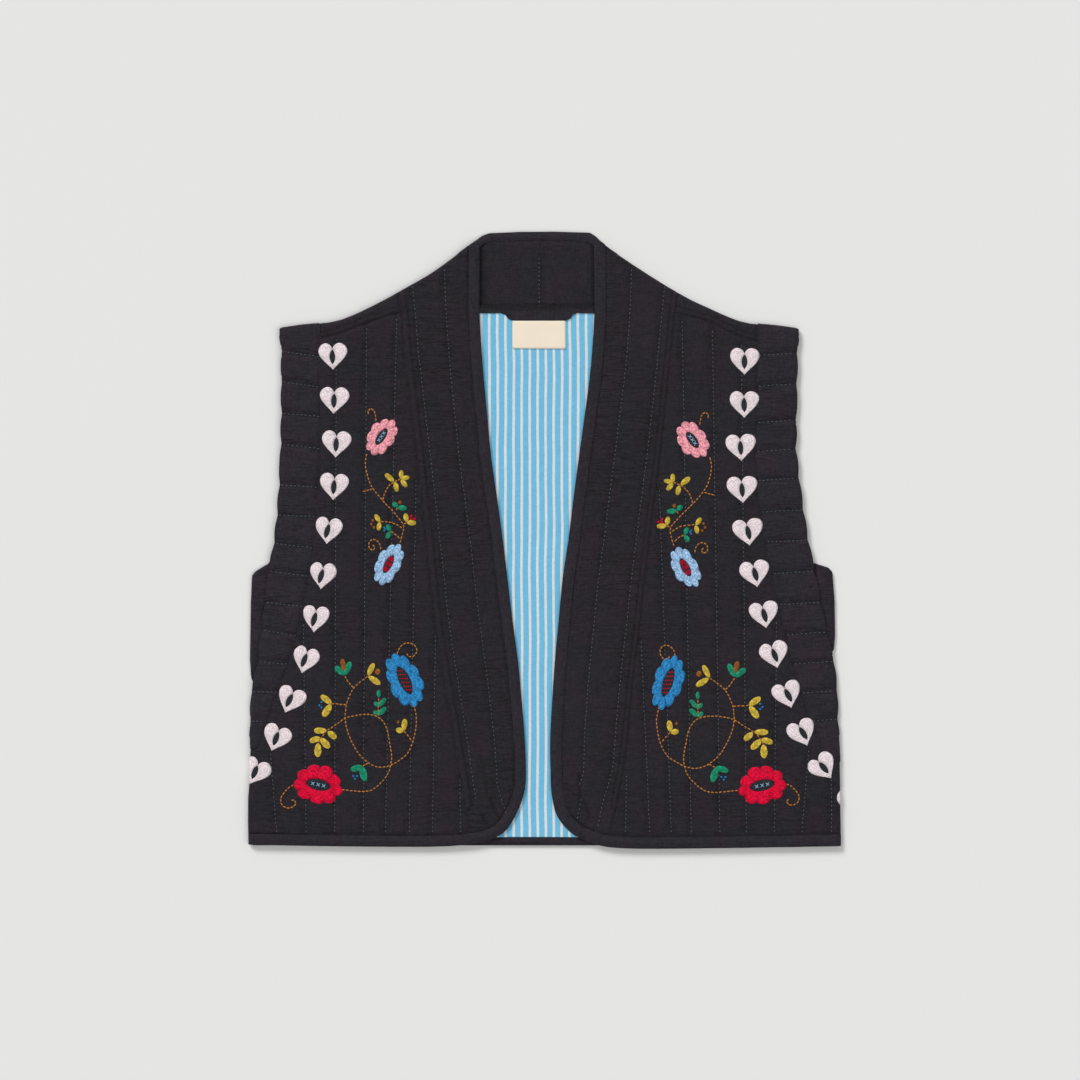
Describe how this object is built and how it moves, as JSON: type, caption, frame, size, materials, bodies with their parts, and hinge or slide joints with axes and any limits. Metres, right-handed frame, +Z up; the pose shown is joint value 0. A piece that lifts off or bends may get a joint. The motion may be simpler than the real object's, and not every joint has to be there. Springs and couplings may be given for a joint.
{
  "type": "quilted vest",
  "caption": "Sleeveless open-front vest laid flat, with quilted panels, rolled bindings, a striped lining and a bare neck label.",
  "frame": {"origin": "centre of the bounding box's footprint, at the height of the surface that the vest lies on", "axes": "+Z up, out of the vest's open front; +Y towards the neck; +X towards the right side of the picture, which is the wearer's left"},
  "size_m": [0.5494, 0.572, 0.0085],
  "materials": {
    "charcoal_quilt": "matte printed cotton over thin wadding, quilted in rows",
    "charcoal_binding": "matte cotton binding, folded over the edge",
    "striped_lining": "plain-woven cotton, light blue with narrow white stripes",
    "label_tape": "smooth woven tape, no text"
  },
  "bodies": {
    "root": {"back": "charcoal_quilt", "neck_band": "charcoal_quilt", "binding_neck": "charcoal_binding", "binding_back_hem": "charcoal_binding", "back_lining": "striped_lining", "neck_facing": "charcoal_binding", "label": "label_tape", "front_left": "charcoal_quilt", "front_band_left": "charcoal_quilt", "shoulder_yoke_left": "charcoal_quilt", "armhole_front_left": "charcoal_quilt", "armhole_back_left": "charcoal_quilt", "binding_front_left": "charcoal_binding", "front_right": "charcoal_quilt", "front_band_right": "charcoal_quilt", "shoulder_yoke_right": "charcoal_quilt", "armhole_front_right": "charcoal_quilt", "armhole_back_right": "charcoal_quilt", "binding_front_right": "charcoal_binding"}
  },
  "joints": []
}
